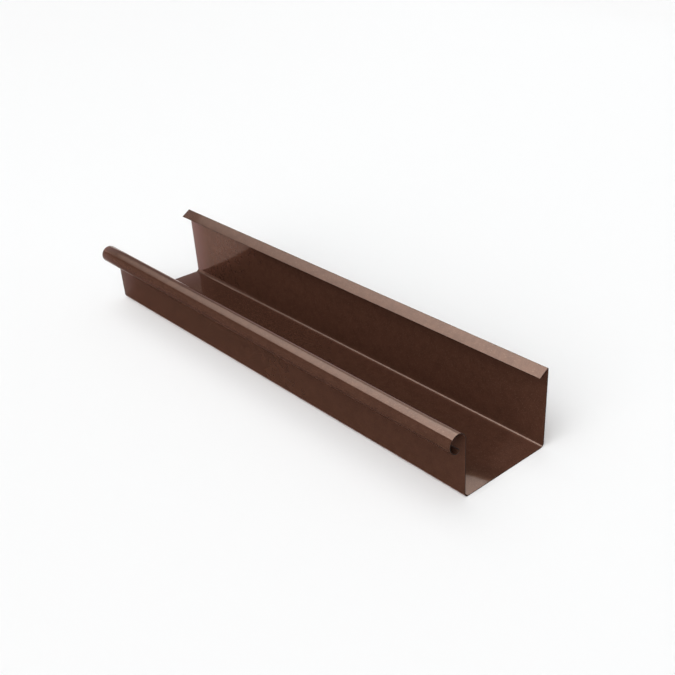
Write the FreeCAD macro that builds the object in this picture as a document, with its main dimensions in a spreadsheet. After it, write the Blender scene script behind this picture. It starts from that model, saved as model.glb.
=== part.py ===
import FreeCAD, Part
from collections import namedtuple
import math
import os
import Sketcher

# A length of rectangular eaves gutter. It is one strip of coated steel, roll-formed from edge to edge:
# a flange, the back wall, the floor, the front wall, and a round bead rolled outwards at the front,
# whose raw edge is curled back inside it.
#
# X runs along the gutter, Y from the front to the back wall, and Z up. The origin is in the middle
# of the length and of the whole width, on the underside of the floor.

SIZES = {
    "gutter_length": 640,      # cut length of the piece
    "sheet_thickness": 0.8,
    "floor_width": 120,        # over the outside of both walls
    "corner_radius": 4.4,      # inside the two bends at the floor
    "back_height": 95,         # underside of the floor to the top of the flange's bend
    "flange_reach": 13.3,      # how far the flange leans in over the channel, from the wall's outside
    "flange_slope": 32,        # degrees below level
    "flange_radius": 0.7,      # inside the flange's bend
    "bead_top": 79.5,          # underside of the floor to the crown of the bead
    "bead_diameter": 22,       # over the outside of the bead
    "slot_width": 8.2,         # open slot between the front wall and the curl
    "curl_radius": 2.2,        # inside the tight turn where the edge starts back up
    "lip_slope": 43,           # degrees above level, of the flat lip that follows the curl
    "lip_gap": 0.8,            # between the lip's raw edge and the inside of the bead
}

# One bend of the strip. The sheet has two faces: the outside, which is the gutter's own outside, and
# the inside, which the water runs on. Both faces of a bend share its centre, each with its radius.
# The angles say which way the bend bulges where the strip, followed from the flange, enters and
# leaves it, in degrees from the level axis of the section.
Bend = namedtuple("Bend", "centre entry_angle exit_angle outside inside")

# The straights between the bends, in the same order. The bead runs on into the curl with none.
STRAIGHTS = ("flange", "back_wall", "floor", "front_wall", None, "lip")


def make_sheet(doc):
    """The spreadsheet of driving sizes: a name in column A, its value in column B."""
    sheet = doc.addObject("Spreadsheet::Sheet", "Sizes")
    for row, (name, value) in enumerate(SIZES.items(), start=1):
        sheet.set(f"A{row}", name)
        sheet.set(f"B{row}", str(value))
        sheet.setAlias(f"B{row}", name)
    doc.recompute()


def direction(degrees):
    """A step of length 1 in the section's plane."""
    return FreeCAD.Vector(math.cos(math.radians(degrees)), math.sin(math.radians(degrees)), 0)


def lay_out_bends():
    """The five bends as the sketch starts out, before its constraints take over."""
    thick = SIZES["sheet_thickness"]
    width = SIZES["floor_width"]
    corner = SIZES["corner_radius"]
    flange = SIZES["flange_radius"]
    curl = SIZES["curl_radius"]
    bead = SIZES["bead_diameter"] / 2
    flange_centre = FreeCAD.Vector(width - flange - thick, SIZES["back_height"] - flange - thick, 0)
    back_centre = FreeCAD.Vector(width - corner - thick, corner + thick, 0)
    front_centre = FreeCAD.Vector(corner + thick, corner + thick, 0)
    bead_centre = FreeCAD.Vector(thick - bead, SIZES["bead_top"] - bead, 0)

    # The curl touches the bead from inside, so the bead's last point, its centre and the curl's
    # centre are in line.
    between = bead - curl - thick
    across = -SIZES["slot_width"] - curl - thick - bead_centre.x
    handover = 360 - math.degrees(math.acos(across / between))
    curl_centre = bead_centre + direction(handover) * between
    return {
        "flange_bend": Bend(flange_centre, 90 + SIZES["flange_slope"], 0, flange + thick, flange),
        "back_corner": Bend(back_centre, 360, 270, corner + thick, corner),
        "front_corner": Bend(front_centre, 270, 180, corner + thick, corner),
        "bead": Bend(bead_centre, 0, handover, bead - thick, bead),
        "curl": Bend(curl_centre, handover, 450 - SIZES["lip_slope"], curl, curl + thick),
    }


def flange_edge(bends, side):
    """Where one face of the sheet starts, at the flange's raw edge."""
    bend = bends["flange_bend"]
    bulge = direction(bend.entry_angle)
    outside_point = bend.centre + bulge * bend.outside
    level_run = SIZES["flange_reach"] - (SIZES["floor_width"] - outside_point.x)
    along = direction(SIZES["flange_slope"])
    return bend.centre + bulge * getattr(bend, side) - along * (level_run / along.x)


def lip_edge(bends, side):
    """Where one face of the sheet ends, at the lip's raw edge, just short of the bead's wall."""
    bend = bends["curl"]
    bulge = direction(bend.exit_angle)
    along = direction(bend.exit_angle + 90)
    start = bend.centre + bulge * bend.inside - bends["bead"].centre
    reach = bends["bead"].outside - SIZES["lip_gap"]
    back_to_middle = -start.dot(along)
    past_middle = math.sqrt(back_to_middle ** 2 + reach ** 2 - start.dot(start))
    return bend.centre + bulge * getattr(bend, side) + along * (back_to_middle + past_middle)


def draw_face(sketch, bends, side):
    """Draw one face of the sheet as straights and bends, each running smoothly into the next.

    Returns the sketch's index of each straight and bend by its name.
    """
    drawn = {}
    point = flange_edge(bends, side)
    last = None                 # the piece drawn last and which of its two ends is the free one

    def join(name, piece, near_end, far_end):
        nonlocal last
        drawn[name] = sketch.addGeometry(piece, False)
        if last:
            sketch.addConstraint(Sketcher.Constraint("Tangent", *last, drawn[name], near_end))
        last = (drawn[name], far_end)

    for straight, (name, bend) in zip(STRAIGHTS, bends.items()):
        radius = getattr(bend, side)
        entry = bend.centre + direction(bend.entry_angle) * radius
        if straight:
            join(straight, Part.LineSegment(point, entry), 1, 2)
        circle = Part.Circle(bend.centre, FreeCAD.Vector(0, 0, 1), radius)
        low, high = sorted((math.radians(bend.entry_angle), math.radians(bend.exit_angle)))
        ends = (1, 2) if bend.exit_angle > bend.entry_angle else (2, 1)
        join(name, Part.ArcOfCircle(circle, low, high), *ends)
        point = bend.centre + direction(bend.exit_angle) * radius
    join(STRAIGHTS[-1], Part.LineSegment(point, lip_edge(bends, side)), 1, 2)
    return drawn


def draw_section(sketch):
    """The closed outline of the strip, seen on its end, with every size tied to the sheet."""
    bends = lay_out_bends()
    outside = draw_face(sketch, bends, "outside")
    inside = draw_face(sketch, bends, "inside")
    rule = Sketcher.Constraint

    # The raw edges close the outline, square to the strip. The two faces run parallel and the two
    # arcs of a bend share a centre, so the sheet is equally thick from edge to edge.
    raw_edges = {}
    for name, end in (("flange", 1), ("lip", 2)):
        corners = [sketch.getPoint(face[name], end) for face in (outside, inside)]
        raw_edges[name] = sketch.addGeometry(Part.LineSegment(*corners), False)
        sketch.addConstraint(rule("Coincident", raw_edges[name], 1, outside[name], end))
        sketch.addConstraint(rule("Coincident", raw_edges[name], 2, inside[name], end))
        sketch.addConstraint(rule("Perpendicular", raw_edges[name], outside[name]))
        sketch.addConstraint(rule("Parallel", outside[name], inside[name]))
    for name in bends:
        sketch.addConstraint(rule("Coincident", outside[name], 3, inside[name], 3))
    for face in (outside, inside):
        sketch.addConstraint(rule("Vertical", face["back_wall"]))
        sketch.addConstraint(rule("Horizontal", face["floor"]))
        sketch.addConstraint(rule("Vertical", face["front_wall"]))
    sketch.addConstraint(rule("Equal", inside["back_corner"], inside["front_corner"]))

    # The floor's underside lies on the level axis, and the front wall's outside on the upright one.
    level_axis, upright_axis, origin = -1, -2, (-1, 1)
    sketch.addConstraint(rule("PointOnObject", outside["floor"], 1, level_axis))
    sketch.addConstraint(rule("PointOnObject", outside["front_wall"], 1, upright_axis))

    def bind(name, formula, value, kind, *places):
        """Add a named dimension that follows the sheet."""
        sketch.renameConstraint(sketch.addConstraint(rule(kind, *places, value)), name)
        sketch.setExpression(f"Constraints.{name}", formula)

    bead = bends["bead"]
    bind("thickness", "Sizes.sheet_thickness",
         SIZES["sheet_thickness"], "Distance", raw_edges["flange"])
    bind("width", "Sizes.floor_width",
         SIZES["floor_width"], "DistanceX", *origin, outside["back_wall"], 2)
    bind("corner_radius", "Sizes.corner_radius",
         SIZES["corner_radius"], "Radius", inside["back_corner"])
    bind("flange_radius", "Sizes.flange_radius",
         SIZES["flange_radius"], "Radius", inside["flange_bend"])
    bind("flange_bend_height", "Sizes.back_height - Sizes.flange_radius - Sizes.sheet_thickness",
         bends["flange_bend"].centre.y, "DistanceY", *origin, outside["flange_bend"], 3)
    bind("flange_reach", "Sizes.flange_reach",
         SIZES["flange_reach"], "DistanceX", outside["flange"], 1, outside["back_wall"], 1)
    bind("flange_slope", "Sizes.flange_slope * 1 deg",
         math.radians(SIZES["flange_slope"]), "Angle", outside["flange"])
    bind("bead_radius", "Sizes.bead_diameter / 2",
         bead.inside, "Radius", inside["bead"])
    bind("bead_height", "Sizes.bead_top - Sizes.bead_diameter / 2",
         bead.centre.y, "DistanceY", *origin, inside["bead"], 3)
    bind("curl_radius", "Sizes.curl_radius",
         SIZES["curl_radius"], "Radius", outside["curl"])
    bind("curl_setback", "Sizes.slot_width + Sizes.curl_radius + Sizes.sheet_thickness",
         -bends["curl"].centre.x, "DistanceX", inside["curl"], 3, *origin)
    bind("lip_angle", "(180 - Sizes.lip_slope) * 1 deg",
         math.radians(180 - SIZES["lip_slope"]), "Angle", inside["lip"])
    bind("lip_reach", "Sizes.bead_diameter / 2 - Sizes.sheet_thickness - Sizes.lip_gap",
         bead.outside - SIZES["lip_gap"], "Distance", inside["bead"], 3, inside["lip"], 2)


def make_gutter(doc):
    """The strip's section, drawn on its end and run out along the gutter to both sides."""
    body = doc.addObject("PartDesign::Body", "gutter_section")
    body.Label = "gutter_section"
    plane = next(item for item in body.Origin.OriginFeatures if item.Role == "YZ_Plane")
    section = body.newObject("Sketcher::SketchObject", "Section")
    section.AttachmentSupport = (plane, "")
    section.MapMode = "FlatFace"
    doc.recompute()
    draw_section(section)
    doc.recompute()

    run = body.newObject("PartDesign::Pad", "Run")
    run.Profile = section
    run.SideType = "Symmetric"
    run.setExpression("Length", "Sizes.gutter_length")

    # The bead stands out past the front wall, so the middle of the whole width lies a little
    # forward of the middle of the floor.
    body.setExpression(".Placement.Base.y",
                       "(Sizes.bead_diameter - Sizes.sheet_thickness - Sizes.floor_width) / 2")
    return body


def check(doc):
    """Stop if an object failed to compute, the section is loose, or a solid is empty or broken."""
    for item in doc.Objects:
        if "Invalid" in item.State or "Error" in item.State:
            raise RuntimeError(f"{item.Label} did not compute: {item.State}")
        if item.TypeId == "Sketcher::SketchObject" and item.solve() != 0:
            raise RuntimeError(f"{item.Label} does not solve")
        if item.TypeId in ("PartDesign::Pad", "PartDesign::Body"):
            if item.Shape.isNull() or not item.Shape.isValid():
                raise RuntimeError(f"{item.Label} has an empty or broken shape")


doc = FreeCAD.newDocument("gutter")
make_sheet(doc)
gutter = make_gutter(doc)
doc.recompute()
check(doc)

os.makedirs("parts", exist_ok=True)
gutter.Shape.exportStep(os.path.join("parts", gutter.Label + ".step"))
box = gutter.Shape.BoundBox
print(f"{gutter.Label}: {box.XLength:.2f} x {box.YLength:.2f} x {box.ZLength:.2f} mm, "
      f"{gutter.Shape.Volume / 1000:.1f} cm3")
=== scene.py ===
import math
import bmesh
import bpy
from mathutils import Matrix, Vector


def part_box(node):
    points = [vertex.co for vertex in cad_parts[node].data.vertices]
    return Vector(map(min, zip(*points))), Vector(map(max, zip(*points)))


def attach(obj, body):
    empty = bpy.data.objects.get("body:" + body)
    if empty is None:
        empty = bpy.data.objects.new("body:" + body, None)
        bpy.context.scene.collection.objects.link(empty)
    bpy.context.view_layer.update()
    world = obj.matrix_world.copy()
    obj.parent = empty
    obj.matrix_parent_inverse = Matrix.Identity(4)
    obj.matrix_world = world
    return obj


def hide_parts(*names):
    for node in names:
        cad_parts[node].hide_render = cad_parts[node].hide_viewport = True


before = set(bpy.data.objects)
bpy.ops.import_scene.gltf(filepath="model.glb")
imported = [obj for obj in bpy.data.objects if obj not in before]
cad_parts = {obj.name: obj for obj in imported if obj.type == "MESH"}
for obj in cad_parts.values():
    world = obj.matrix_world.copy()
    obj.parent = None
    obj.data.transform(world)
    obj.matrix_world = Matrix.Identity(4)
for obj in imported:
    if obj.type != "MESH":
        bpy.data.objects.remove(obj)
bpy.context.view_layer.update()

# %% [markdown]
# # A length of rectangular eaves gutter
# The real object is one strip of coated steel, bent along its whole length on a roll former: a
# short flange, a back wall, a floor, a front wall, and a round bead that stiffens the front edge.
# The construction model gives its place and its box, and everything here is fitted to that.

# %% Measure the construction model
gutter_low, gutter_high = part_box("gutter_section")
size = gutter_high - gutter_low
print("gutter in mm:", [round(1000 * side, 1) for side in size])

# %% [markdown]
# ## The camera
# The camera stands above the front right-hand end and looks down the gutter, so that the open
# channel, the front wall and the rolled bead all show. It could be placed by a position and three
# angles, but it is easier to judge from what someone with a tripod would set: the point that it
# looks at, its direction, a slight roll, its distance and its lens. A small lens shift frames the
# gutter without turning the camera, which keeps the perspective as it is.

# %% A camera on a tripod
MM = 0.001


def stand_camera(aim, azimuth, elevation, roll, distance, lens, shift):
    """A camera that looks at a point. Azimuth 0 looks along +Y; the angles are in degrees."""
    camera = bpy.data.objects.new("camera", bpy.data.cameras.new("camera"))
    bpy.context.scene.collection.objects.link(camera)
    camera.data.lens = lens
    camera.data.shift_x, camera.data.shift_y = shift
    turn = (Matrix.Rotation(math.radians(azimuth), 4, "Z")
            @ Matrix.Rotation(math.radians(90 - elevation), 4, "X")
            @ Matrix.Rotation(math.radians(roll), 4, "Z"))
    camera.matrix_world = Matrix.Translation(aim) @ turn @ Matrix.Translation((0, 0, distance))
    bpy.context.scene.camera = camera
    return camera


# %% Place the camera
camera = stand_camera(aim=Vector((96.0, 87.1, -28.6)) * MM, azimuth=46.72, elevation=31.4,
                      roll=-1.51, distance=1136.65 * MM, lens=50.0, shift=(-0.1008, 0.0721))
print("camera in mm:", [round(1000 * value) for value in camera.matrix_world.translation])

# %% [markdown]
# ## The strip, seen on its end
# The section could be drawn as a closed outline with an inside and an outside, but then every bend
# would have to be drawn twice. Here only the line down the middle of the sheet's thickness is
# drawn, and the sheet gets its thickness later. The radii below are those of the inside of each
# bend, except that of the bead, which is its outside. Slopes and turns are in degrees. The length,
# the height and the place of the back wall come from the construction model.

# %% Sizes of the strip
SHEET = 0.8 * MM
FLOOR_WIDTH = 120 * MM
FLANGE_LENGTH = 12.97 * MM
FLANGE_SLOPE = 32
FLANGE_RADIUS = 0.7 * MM
CORNER_RADIUS = 4.4 * MM
BEAD_TOP = 79.5 * MM
BEAD_RADIUS = 11 * MM
BEAD_TURN = 262.82
CURL_RADIUS = 2.2 * MM
LIP_SLOPE = 43
LIP_LENGTH = 13.41 * MM

half = SHEET / 2
fold = FLANGE_RADIUS + half
corner = CORNER_RADIUS + half
print(f"corners bend at {1000 * corner:.1f} mm, the flange's fold at {1000 * fold:.1f} mm")

# %% [markdown]
# ## A line that bends like the strip
# A roll former bends a flat strip a little at each pair of rolls, and leaves it straight between
# the bends. The line is drawn in the same way: it runs straight, then turns about a centre, and so
# on from edge to edge. A vertex is extruded for a straight and spun for a bend, so the radii are
# exact, and every bend runs smoothly into the next straight.


# %% Straights and bends
class StripLine:
    """The middle of the sheet, drawn in the YZ plane from edge to edge."""

    def __init__(self, start, heading, x):
        self.mesh = bmesh.new()
        self.end = self.mesh.verts.new((x, *start))
        self.heading = heading

    def along(self, degrees=0):
        """The direction of the line's end, turned left by some degrees."""
        angle = math.radians(self.heading + degrees)
        return Vector((0, math.cos(angle), math.sin(angle)))

    def straight(self, length):
        made = bmesh.ops.extrude_vert_indiv(self.mesh, verts=[self.end])
        self.end = made["verts"][0]
        self.end.co += self.along() * length

    def bend(self, degrees, radius, steps):
        """Turn left for a positive angle and right for a negative one."""
        side = math.copysign(90, degrees)
        centre = self.end.co + self.along(side) * radius
        made = bmesh.ops.spin(self.mesh, geom=[self.end], cent=centre, axis=(1, 0, 0),
                              angle=math.radians(degrees), steps=steps)
        self.end = next(v for v in made["geom_last"] if isinstance(v, bmesh.types.BMVert))
        self.heading += degrees


# %% [markdown]
# ## The flange, the back wall and the floor
# The back wall ends in a short flange that leans in over the channel and keeps the wall's top edge
# straight. The line starts at the flange's free edge. Where that edge lies is worked out backwards
# from the fold, because the fold is what touches the top and the back of the box.

# %% Find the flange's free edge
back = gutter_high.y
fold_centre = Vector((back - half - fold, gutter_high.z - half - fold))
slope = math.radians(FLANGE_SLOPE)
flange_end = fold_centre + Vector((-math.sin(slope), math.cos(slope))) * fold
flange_edge = flange_end - Vector((math.cos(slope), math.sin(slope))) * FLANGE_LENGTH
print("flange edge in mm:", [round(1000 * value, 2) for value in flange_edge])

# %% Draw the line from the flange to the front corner
FOLD_STEPS = 10
CORNER_STEPS = 20

strip = StripLine(flange_edge, FLANGE_SLOPE, gutter_low.x)
strip.straight(FLANGE_LENGTH)
strip.bend(-90 - FLANGE_SLOPE, fold, FOLD_STEPS)
strip.straight(size.z - half - fold - corner - half)
strip.bend(-90, corner, CORNER_STEPS)
strip.straight(FLOOR_WIDTH - 2 * (corner + half))
strip.bend(-90, corner, CORNER_STEPS)
print("the front wall starts at", [round(1000 * value, 2) for value in strip.end.co.yz])

# %% [markdown]
# ## The front wall and the rolled bead
# The front wall ends in a bead that is rolled outwards, almost three quarters of a circle. It makes
# the thin edge stiff and safe to touch, and brackets hook into it. The strip's last stretch is
# curled up tightly, and ends in a flat lip that climbs back inside the bead. A tube laid along the
# wall would be quicker to make, but it would have no slot, no curl and no lip. So the same line
# goes on: one wide bend, one tight bend the same way, and a straight.

# %% Draw the front wall and the bead
BEAD_STEPS = 84
CURL_STEPS = 24
lip_heading = 180 - LIP_SLOPE

strip.straight(BEAD_TOP - BEAD_RADIUS - corner - half)
strip.bend(BEAD_TURN, BEAD_RADIUS - half, BEAD_STEPS)
strip.bend(lip_heading - strip.heading, CURL_RADIUS + half, CURL_STEPS)
strip.straight(LIP_LENGTH)
line = sum(edge.calc_length() for edge in strip.mesh.edges)
print(f"strip {1000 * line:.0f} mm wide before bending, lip edge at",
      [round(1000 * value, 2) for value in strip.end.co.yz])

# %% [markdown]
# ## Out along the gutter
# On the roll former the bent strip comes out as long as it is wanted, and is cut square. Here the
# line is pushed out along X in equal steps, from one end of the box to the other. One long step
# would give the same surface, but its faces would be very long and thin.

# %% Push a line out
STEPS_ALONG = 16


def run_out(mesh, length, steps):
    """Push the mesh's edges out along X in equal steps."""
    edges = list(mesh.edges)
    for _ in range(steps):
        made = bmesh.ops.extrude_edge_only(mesh, edges=edges)["geom"]
        verts = {item for item in made if isinstance(item, bmesh.types.BMVert)}
        edges = [item for item in made if isinstance(item, bmesh.types.BMEdge)
                 and all(vert in verts for vert in item.verts)]
        bmesh.ops.translate(mesh, verts=list(verts), vec=(length / steps, 0, 0))


# %% Make the sheet's surface
run_out(strip.mesh, size.x, STEPS_ALONG)
bmesh.ops.remove_doubles(strip.mesh, verts=strip.mesh.verts, dist=0.001 * MM)
bmesh.ops.recalc_face_normals(strip.mesh, faces=strip.mesh.faces)
for face in strip.mesh.faces:
    face.smooth = True
sheet = bpy.data.meshes.new("rolled_sheet")
strip.mesh.to_mesh(sheet)
strip.mesh.free()
gutter = bpy.data.objects.new("rolled_sheet", sheet)
bpy.context.scene.collection.objects.link(gutter)
print("faces in the sheet's surface:", len(sheet.polygons))

# %% [markdown]
# ## The sheet's thickness and its cut edges
# A Solidify modifier gives the surface the sheet's real thickness, half to each side. Giving the
# thickness last keeps it the same round every bend. The faces of its rim are the raw cut edges, so
# they take the second material. Such edges are never perfectly sharp: a Bevel modifier rounds them
# by less than a tenth of a millimetre, which catches a line of light. Its angle limit leaves the
# bends of the sheet alone.

# %% Thicken the sheet and take off its sharp edges
DEBURR = 0.08 * MM
DEBURR_ANGLE = 60
CUT_EDGE_SLOT = 1

thicken = gutter.modifiers.new("thickness", "SOLIDIFY")
thicken.thickness = SHEET
thicken.offset = 0
thicken.use_even_offset = True
thicken.material_offset_rim = CUT_EDGE_SLOT
deburr = gutter.modifiers.new("cut edges", "BEVEL")
deburr.width = DEBURR
deburr.segments = 2
deburr.limit_method = "ANGLE"
deburr.angle_limit = math.radians(DEBURR_ANGLE)
print("modifiers:", [modifier.name for modifier in gutter.modifiers])

# %% [markdown]
# ## One piece on one body
# Nothing on a gutter moves, so the sheet rides on the root body. It stands for the whole
# construction model, whose one solid is then hidden.

# %% Tie the sheet to the frame
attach(gutter, "root")
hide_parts("gutter_section")
print("pieces that show:", [gutter.name])

# %% [markdown]
# ## The grain
# No sheet is quite even. The coat has a very fine grain, sparse paler specks and faint, wide
# blotches, and the cut edges are speckled too. A picture wrapped round the strip could give them,
# but it would need unwrapping, and it would repeat or blur. Noise does neither. Both finishes take
# it from one node group, which is built once: three noises of different sizes, read from Object
# coordinates so that they stay on the sheet. The group puts out two masks and a height, and each
# material decides what they do. In the editor the nodes are drawn by hand. Here one helper adds a
# node and links it, and another stretches a value from one range to another.


# %% Tools for nodes
def add_node(tree, kind, links=None, **settings):
    """Add a node, set its properties, and link or set its inputs by name or number."""
    node = tree.nodes.new("ShaderNode" + kind)
    for name, value in settings.items():
        setattr(node, name, value)
    for socket, value in (links or {}).items():
        if isinstance(value, bpy.types.NodeSocket):
            tree.links.new(value, node.inputs[socket])
        else:
            node.inputs[socket].default_value = value
    return node


def stretch(tree, value, start, end, low=0.0, high=1.0):
    """Give low where the value is at the start, high where it is at the end, a ramp between."""
    node = add_node(tree, "MapRange", {"Value": value, "From Min": start, "From Max": end,
                                       "To Min": low, "To Max": high})
    return node.outputs["Result"]


# %% Build the grain group
GRAIN_ROUGHNESS = 0.6

grain = bpy.data.node_groups.new("coat_grain", "ShaderNodeTree")
for socket, cells_per_metre in (("Grain Size", 2200.0), ("Speck Size", 850.0),
                                ("Blotch Size", 110.0)):
    made = grain.interface.new_socket(socket, in_out="INPUT", socket_type="NodeSocketFloat")
    made.default_value = cells_per_metre
for socket in ("Specks", "Blotches", "Height"):
    grain.interface.new_socket(socket, in_out="OUTPUT", socket_type="NodeSocketFloat")
grain_in = grain.nodes.new("NodeGroupInput").outputs
grain_out = grain.nodes.new("NodeGroupOutput").inputs
place = add_node(grain, "TexCoord").outputs["Object"]


def grain_noise(size_socket, detail):
    """A noise on the sheet, as fine as one of the group's sockets says."""
    noise = add_node(grain, "TexNoise", {"Vector": place, "Scale": grain_in[size_socket],
                                         "Detail": detail, "Roughness": GRAIN_ROUGHNESS})
    return noise.outputs["Fac"]


specks = stretch(grain, grain_noise("Speck Size", detail=1.0), start=0.57, end=0.74)
blotches = stretch(grain, grain_noise("Blotch Size", detail=3.0), start=0.32, end=0.68)
grain.links.new(specks, grain_out["Specks"])
grain.links.new(blotches, grain_out["Blotches"])
grain.links.new(grain_noise("Grain Size", detail=2.0), grain_out["Height"])
print("grain group:", [socket.name for socket in grain_out if socket.name])

# %% [markdown]
# ## The brown coat
# Gutter steel is coated in the coil, before it is bent. The coat is smooth and fairly glossy, with
# a sheen that takes on its brown, as paint with fine metal flakes does. Plain paint would shine
# white, and bare metal would have no colour in the shade, so the coat is half metallic, under a
# thin clear layer. The blotches vary its brown and its gloss, the specks are a little paler, and
# the grain is a bump so slight that it only softens the reflections. What is the same all over is
# set on the shader's own sockets, and only what varies is linked.


# %% Tools for paints
def new_material(name, **values):
    """A material with its Principled shader, whose even values are set on its own sockets."""
    material = bpy.data.materials.new(name)
    material.use_nodes = True
    shader = material.node_tree.nodes["Principled BSDF"]
    for socket, value in values.items():
        shader.inputs[socket.replace("_", " ")].default_value = value
    return material, material.node_tree, shader


def mix_colours(tree, mask, first, second):
    """Mix two colours by a mask. A Mix node keeps its colour sockets at places 6 and 7."""
    mix = add_node(tree, "Mix", data_type="RGBA")
    tree.links.new(mask, mix.inputs[0])
    for place, value in ((6, first), (7, second)):
        if isinstance(value, bpy.types.NodeSocket):
            tree.links.new(value, mix.inputs[place])
        else:
            mix.inputs[place].default_value = (*value, 1)
    return mix.outputs[2]


# %% Make the brown coat
BROWN = ((0.102, 0.045, 0.029), (0.126, 0.056, 0.036))
SPECK = (0.165, 0.084, 0.056)
GLOSS = (0.11, 0.14)

coat, tree, shader = new_material(
    "brown_coated_steel", Metallic=0.5, Specular_IOR_Level=0.02, Coat_Weight=0.4,
    Coat_Roughness=0.07, Specular_Tint=(0.7, 0.35, 0.25, 1.0))
texture = add_node(tree, "Group", node_tree=grain).outputs
paint = mix_colours(tree, texture["Blotches"], *BROWN)
paint = mix_colours(tree, texture["Specks"], paint, SPECK)
tree.links.new(paint, shader.inputs["Base Color"])
gloss = stretch(tree, texture["Blotches"], 0.0, 1.0, *GLOSS)
tree.links.new(gloss, shader.inputs["Roughness"])
bump = add_node(tree, "Bump", {"Height": texture["Height"], "Strength": 0.004,
                               "Distance": 0.0002})
tree.links.new(bump.outputs["Normal"], shader.inputs["Normal"])
sheet.materials.append(coat)
print("coat on faces:", sum(face.material_index == 0 for face in sheet.polygons))

# %% [markdown]
# ## The cut edges
# Where the strip was cut, the coat ends, and a dull, dark line of steel and primer shows. Its
# colour is partly that and partly painted shade: it is near black, darker than the bare edge
# itself, so that it stands in for the dark shaded line along the sheet's edges. It could be drawn
# in layers, but it is less than a millimetre wide, so a speckle is enough. It comes second in the
# sheet's list of materials, where the thickness looks for it.

# %% Make the cut edges
# Near black: the edge's own dark steel and primer, deepened by painted shade.
DARK_STEEL_AND_SHADE = ((0.014, 0.008, 0.006), (0.030, 0.020, 0.016))

cut_edge, tree, shader = new_material("cut_edge", Roughness=0.7, Specular_IOR_Level=0.1)
texture = add_node(tree, "Group", node_tree=grain).outputs
steel_and_shade = mix_colours(tree, texture["Specks"], *DARK_STEEL_AND_SHADE)
tree.links.new(steel_and_shade, shader.inputs["Base Color"])
sheet.materials.append(cut_edge)
print("materials:", [material.name for material in sheet.materials])

# %% [markdown]
# ## The floor
# The gutter stands on a plain pale floor, and its soft shadow falls on it. The floor is a single
# square that reaches far past the gutter on every side, so that its edge is a long way off in every
# view. It is made like all the flat things of the studio below: a square of one metre, scaled.


# %% Flat things of the studio
def unit_card():
    """A flat square of one metre about the origin, facing up."""
    card = bmesh.new()
    bmesh.ops.create_grid(card, x_segments=1, y_segments=1, size=0.5)
    return card


def add_stage(name, mesh, material):
    """Make an object of the studio from a bmesh. It is not part of the gutter."""
    data = bpy.data.meshes.new(name)
    mesh.to_mesh(data)
    mesh.free()
    data.materials.append(material)
    item = bpy.data.objects.new(name, data)
    bpy.context.scene.collection.objects.link(item)
    return item


# %% Lay the floor
FLOOR_SIDE = 24

paper = unit_card()
bmesh.ops.scale(paper, verts=paper.verts, vec=(FLOOR_SIDE, FLOOR_SIDE, 1))
floor_paper, _, _ = new_material("floor_paper", Roughness=0.9, Specular_IOR_Level=0.1,
                                 Base_Color=(0.92, 0.92, 0.92, 1))
studio_floor = add_stage("studio_floor", paper, floor_paper)
print("floor in m:", [round(side, 1) for side in studio_floor.dimensions])

# %% [markdown]
# ## The lights
# Two broad, soft lights give the shading and the soft shadow: one high on the left, and one from
# the front right that reaches into the channel. Near lamps would light one end more than the other,
# so both are far away, like a patch of bright sky. They leave no glint of their own, because the
# next steps make the reflections.

# %% A patch of sky
PATCH_WIDTH = 70


def sky_light(name, azimuth, elevation, level):
    """A far, soft, round light. Azimuth 0 is in front, along -Y; the angles are in degrees.

    The level is what the light adds to a white surface that faces it, where 1 is white.
    """
    lamp = bpy.data.lights.new(name, "SUN")
    lamp.angle = math.radians(PATCH_WIDTH)
    lamp.energy = math.pi * level
    turn, rise = math.radians(azimuth), math.radians(elevation)
    towards = Vector((math.sin(turn) * math.cos(rise), -math.cos(turn) * math.cos(rise),
                      math.sin(rise)))
    light = bpy.data.objects.new(name, lamp)
    bpy.context.scene.collection.objects.link(light)
    light.rotation_mode = "QUATERNION"
    light.rotation_quaternion = towards.to_track_quat("Z", "Y")
    light.visible_glossy = False


# %% Hang the lights
sky_light("high_left_light", azimuth=-70, elevation=70, level=0.33)
sky_light("front_right_light", azimuth=25, elevation=37, level=0.87)

# %% [markdown]
# ## The bright panel
# A glossy rounded thing looks round because light and dark lie side by side in its reflections.
# In a studio, a bright panel over it gives the light. A lamp shaped like a panel would shine the
# same all over. A card that glows can fade, and this one fades towards the far end and towards the
# back, as the reflections on the flange and the bead do. Only reflections see it, and it casts no
# shadow.


# %% Tools for what only reflections see
def seen_in_reflections_only(item):
    """Hide an object from the camera and from every ray but those of glossy reflections."""
    item.visible_camera = False
    item.visible_diffuse = False
    item.visible_transmission = False
    item.visible_shadow = False


def object_axes(tree):
    """The X, Y and Z of each point of the object that has the material."""
    place = add_node(tree, "TexCoord").outputs["Object"]
    return add_node(tree, "SeparateXYZ", {"Vector": place}).outputs


def glowing_material(name, strength):
    """A material that does nothing but glow, and the axes for its fades."""
    material, tree, shader = new_material(
        name, Roughness=1.0, Specular_IOR_Level=0.0, Base_Color=(0, 0, 0, 1),
        Emission_Strength=strength)
    return material, tree, shader, object_axes(tree)


# %% Hang the panel
PANEL_SIZE = (6.2, 2.05, 1)
PANEL_CENTRE = (-1.5, 0.07, 1.08)
COOL_WHITE = (0.83, 1.04, 1.09)

overhead = unit_card()
bmesh.ops.scale(overhead, verts=overhead.verts, vec=PANEL_SIZE)
bmesh.ops.translate(overhead, verts=overhead.verts, vec=PANEL_CENTRE)
panel_glow, tree, shader, axes = glowing_material("panel_glow", strength=4.4)
far_fade = stretch(tree, axes["X"], start=-2.05, end=-0.3, low=0.14, high=1.0)
back_fade = stretch(tree, axes["Y"], start=0.7, end=1.1, low=1.0, high=0.2)
fade = add_node(tree, "Math", {0: far_fade, 1: back_fade}, operation="MULTIPLY").outputs[0]
tree.links.new(mix_colours(tree, fade, (0, 0, 0), COOL_WHITE), shader.inputs["Emission Color"])
bright_panel = add_stage("bright_panel", overhead, panel_glow)
seen_in_reflections_only(bright_panel)
print("panel in m:", [round(side, 2) for side in bright_panel.dimensions])

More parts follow.
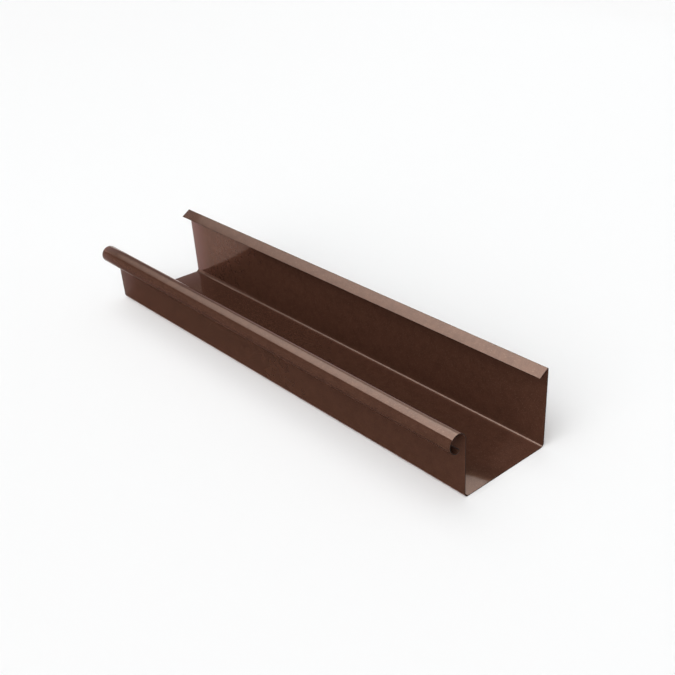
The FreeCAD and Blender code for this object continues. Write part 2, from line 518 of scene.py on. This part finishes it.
# %% [markdown]
# ## The backdrop
# The crown of the bead mirrors what stands low behind the gutter. Left alone, it would mirror the
# white surroundings, as bright at the far end as at the near one. A tall backdrop goes on where the
# panel ends, so that the crown is edged with light, and fades towards the far end as the panel
# does. The panel could be bent down to the floor instead, but two flat cards are easier to place.

# %% Stand the backdrop
BACKDROP_SIZE = (8.0, 2.2, 1)
BACKDROP_CENTRE = (-3.4, 2.2, 1.2)
BACKDROP_WHITE = (0.84, 1.02, 1.05)
BACKDROP_GREY = (0.25, 0.25, 0.25)

behind = unit_card()
bmesh.ops.scale(behind, verts=behind.verts, vec=BACKDROP_SIZE)
bmesh.ops.rotate(behind, verts=behind.verts, matrix=Matrix.Rotation(math.pi / 2, 3, "X"))
bmesh.ops.translate(behind, verts=behind.verts, vec=BACKDROP_CENTRE)
backdrop_glow, tree, shader, axes = glowing_material("backdrop_glow", strength=1.5)
far_fade = stretch(tree, axes["X"], start=-3.6, end=-1.7)
tree.links.new(mix_colours(tree, far_fade, BACKDROP_GREY, BACKDROP_WHITE),
               shader.inputs["Emission Color"])
bright_backdrop = add_stage("bright_backdrop", behind, backdrop_glow)
seen_in_reflections_only(bright_backdrop)
print("backdrop in m:", [round(side, 2) for side in bright_backdrop.dimensions])

# %% [markdown]
# ## The dark card
# A dark card gives the dark half of the bead's reflections. Its dark colour is painted shade, and
# only reflections see it. It starts at the foot of the front wall and leans away from it up to the
# panel's front edge, and it is wider there. The bead shows it as a darker band under the highlight.
# Its foot is paler, most of all at the far end. That is a painted reflection of the lit floor
# beside the gutter, and the front wall mirrors it. A second, paler card could stand in for the
# foot, but its edge would show in the wall, and a fade has none.

# %% Lean the card
FOOT_WIDTH = 0.95
FOOT_CENTRE = (-0.05, -0.046, 0.0003)
TOP_WIDTH = 4.4
TOP_CENTRE = (-0.9, -0.95, 1.06)

leaning = unit_card()
foot = [vert for vert in leaning.verts if vert.co.y < 0]
top = [vert for vert in leaning.verts if vert.co.y > 0]
for verts, width, centre in ((foot, FOOT_WIDTH, FOOT_CENTRE), (top, TOP_WIDTH, TOP_CENTRE)):
    bmesh.ops.scale(leaning, verts=verts, vec=(width, 0, 1))
    bmesh.ops.translate(leaning, verts=verts, vec=centre)
print("card in square metres:", round(sum(face.calc_area() for face in leaning.faces), 2))

# %% Shade the card
CARD_BLACK = 0.02

# The card's colour is painted: near black for painted shade, and paler at the foot and towards the
# far end for painted floor light.
painted_reflection_card, tree, shader = new_material("painted_reflection_card", Roughness=1.0, Specular_IOR_Level=0.0)
axes = object_axes(tree)
low_part = stretch(tree, axes["Z"], start=0.05, end=0.14, low=1.0, high=0.0)
far_part = stretch(tree, axes["X"], start=-0.15, end=-0.45, low=0.3, high=0.85)
shade = add_node(tree, "Math", {0: low_part, 1: far_part, 2: CARD_BLACK},
                 operation="MULTIPLY_ADD")
tree.links.new(shade.outputs[0], shader.inputs["Base Color"])
dark_card = add_stage("dark_card", leaning, painted_reflection_card)
seen_in_reflections_only(dark_card)
print("card in m:", [round(side, 2) for side in dark_card.dimensions])

# %% [markdown]
# ## The surroundings
# Past the floor everything is white, for the camera and in reflections alike. Light Path tells the
# world which kind of ray asks. As light, it is only a weak glow from all around, so that it doesn't
# wash out the brown. The colours stay as they are written, because the view transform is Standard.

# %% Make the world
GLOW = 0.22

world = bpy.data.worlds.new("studio")
bpy.context.scene.world = world
world.use_nodes = True
tree = world.node_tree
rays = add_node(tree, "LightPath").outputs
seen = rays["Is Camera Ray"]
for ray in ("Is Transmission Ray", "Is Glossy Ray"):
    seen = add_node(tree, "Math", {0: seen, 1: rays[ray]}, operation="MAXIMUM").outputs[0]
background = tree.nodes["Background"].inputs
background["Color"].default_value = (1, 1, 1, 1)
tree.links.new(stretch(tree, seen, start=0.0, end=1.0, low=GLOW), background["Strength"])
bpy.context.scene.view_settings.view_transform = "Standard"
